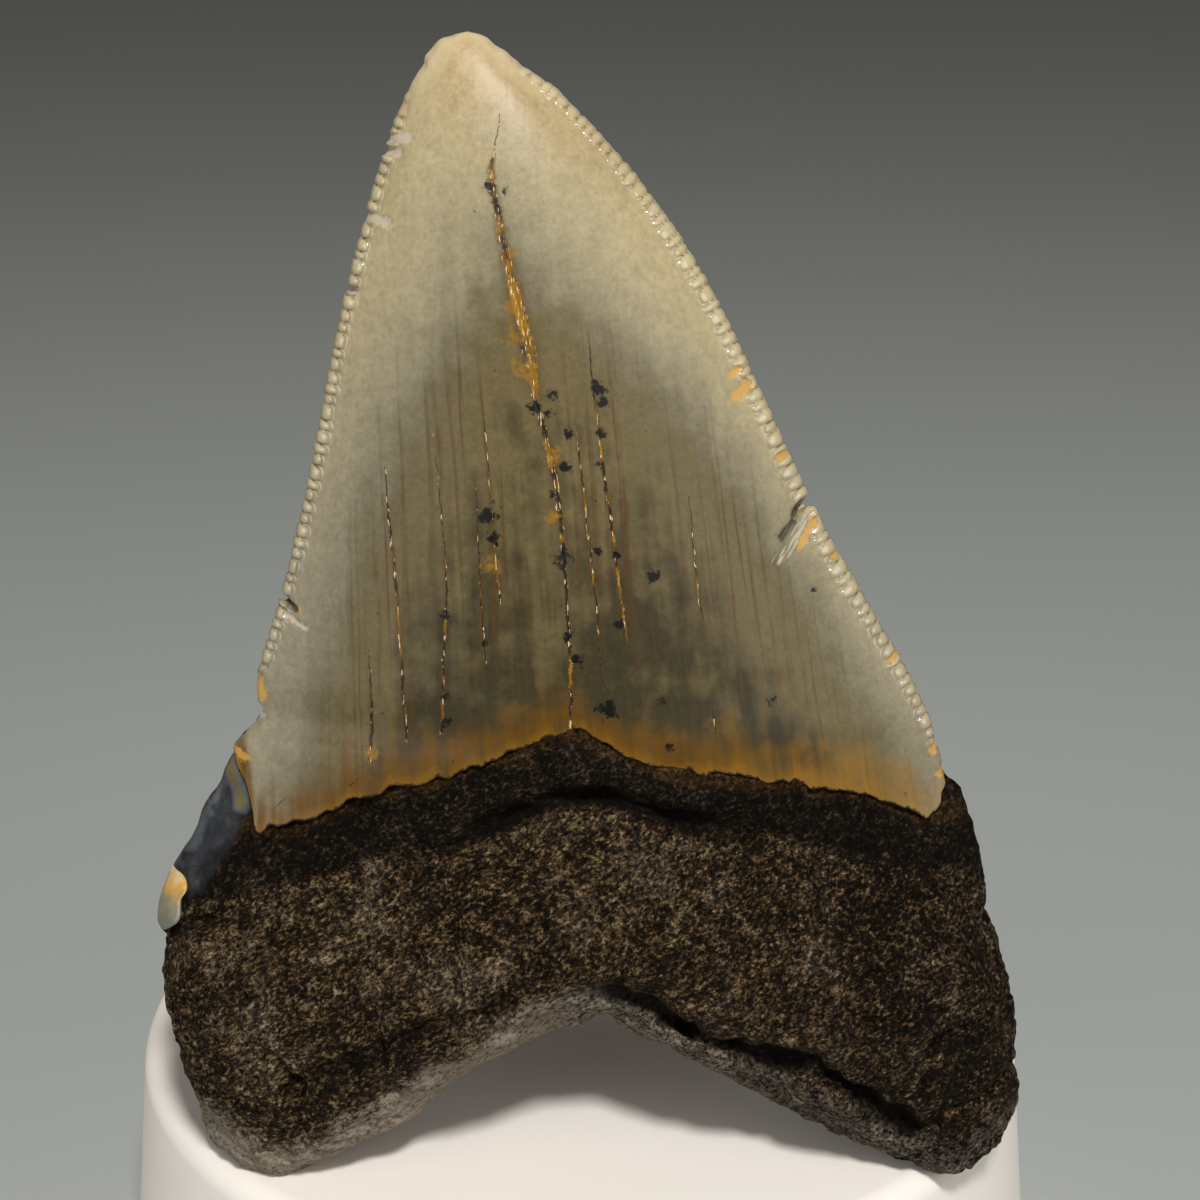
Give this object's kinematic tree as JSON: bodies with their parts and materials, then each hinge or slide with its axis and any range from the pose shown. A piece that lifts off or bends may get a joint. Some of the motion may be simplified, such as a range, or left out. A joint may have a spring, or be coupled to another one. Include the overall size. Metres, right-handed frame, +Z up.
{
  "type": "megalodon tooth on a stand",
  "caption": "Fossil shark tooth with a serrated triangular enamel crown and a dark two-lobed root, standing upright on a round flared plinth.",
  "frame": {"origin": "centre of the stand's underside, on the surface that it stands on", "axes": "+Z up; -Y is the side from which the tooth's inner face is shown; +X to the right of that view"},
  "size_m": [0.0766, 0.0766, 0.1049],
  "materials": {
    "tooth_enamel": "satin",
    "tooth_root": "matte",
    "stand_plaster": "matte"
  },
  "bodies": {
    "root": {"tooth": "tooth_enamel", "stand": "stand_plaster"}
  },
  "joints": []
}
